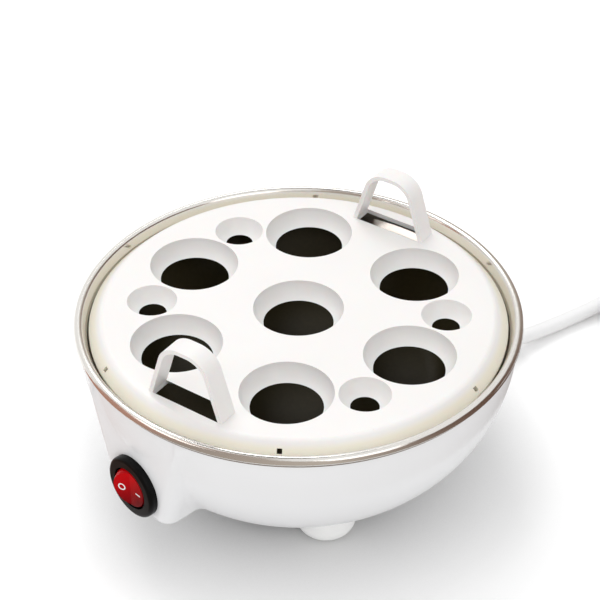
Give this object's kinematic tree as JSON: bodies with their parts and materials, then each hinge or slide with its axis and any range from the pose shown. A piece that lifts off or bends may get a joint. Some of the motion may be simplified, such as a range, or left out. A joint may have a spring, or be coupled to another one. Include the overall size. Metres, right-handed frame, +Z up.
{
  "type": "egg cooker",
  "caption": "Round electric egg cooker: bowl-shaped plastic housing with a rocker switch, rolled steel heating bowl and a lift-out tray with wells, vents and arched handles.",
  "frame": {"origin": "on the axis of the bowl, on the table that the feet stand on", "axes": "+Z up along the axis of the bowl, -Y from the axis through the middle of the switch"},
  "size_m": [0.2689, 0.2988, 0.09],
  "materials": {
    "housing_plastic": "white glossy moulded plastic",
    "tray_plastic": "white moulded plastic, satin gloss",
    "foot_rubber": "white soft plastic",
    "bowl_steel": "polished stainless steel",
    "gasket_rubber": "grey silicone",
    "switch_black": "black plastic, satin gloss",
    "rocker_red": "red see-through plastic, glossy",
    "plate_aluminium": "rolled aluminium",
    "element_aluminium": "matt sheathed tube",
    "terminal_steel": "tinned steel",
    "terminal_brass": "bare brass",
    "fastener_steel": "zinc-plated steel",
    "thermostat_phenolic": "dark brown moulded resin",
    "fuse_sleeve": "woven glass sleeve",
    "clamp_plastic": "natural moulded plastic",
    "cord_white": "white soft cord jacket",
    "tie_white": "white band",
    "plug_white": "white moulded plastic",
    "pin_nickel": "nickel-plated brass",
    "lead_brown": "brown insulation",
    "lead_blue": "blue insulation",
    "lead_green": "green and yellow insulation"
  },
  "bodies": {
    "base": {"base_cover": "housing_plastic", "clamp_screws": "fastener_steel", "clip_screws": "fastener_steel", "coil_tie": "tie_white", "cord_clamp": "clamp_plastic", "cord_coil": "cord_white", "cord_entry": "cord_white", "cord_free": "cord_white", "cord_tail": "cord_white", "cover_screws": "fastener_steel", "earth_tab": "terminal_steel", "element_terminals": "terminal_steel", "feet": "foot_rubber", "heat_plate": "plate_aluminium", "heating_bowl": "bowl_steel", "heating_element": "element_aluminium", "housing": "housing_plastic", "lead_earth": "lead_green", "lead_fuse": "lead_blue", "lead_heater": "lead_brown", "lead_live": "lead_brown", "lead_neutral": "lead_blue", "lead_sockets": "terminal_brass", "lead_switched": "lead_brown", "pan_screws": "fastener_steel", "pan_standoffs": "fastener_steel", "plug_body": "plug_white", "plug_earth": "pin_nickel", "plug_pins": "pin_nickel", "rim_gasket": "gasket_rubber", "strain_relief": "cord_white", "switch_frame": "switch_black", "switch_terminals": "terminal_brass", "thermal_fuse": "fuse_sleeve", "thermostat_base": "thermostat_phenolic", "thermostat_cap": "plate_aluminium", "thermostat_clip": "fastener_steel", "thermostat_terminals": "terminal_steel"},
    "tray": {"egg_tray": "tray_plastic"},
    "rocker": {"switch_rocker": "rocker_red"}
  },
  "joints": [
    {"name": "tray_lift", "type": "slide", "parent": "base", "child": "tray", "axis": [0, 0, 1], "range_m": [0, 0.09]},
    {"name": "switch_tilt", "type": "hinge", "parent": "base", "child": "rocker", "pos_m": [0, -0.0768, 0.0305], "axis": [0, 0, -1], "range_deg": [0, 22]}
  ]
}
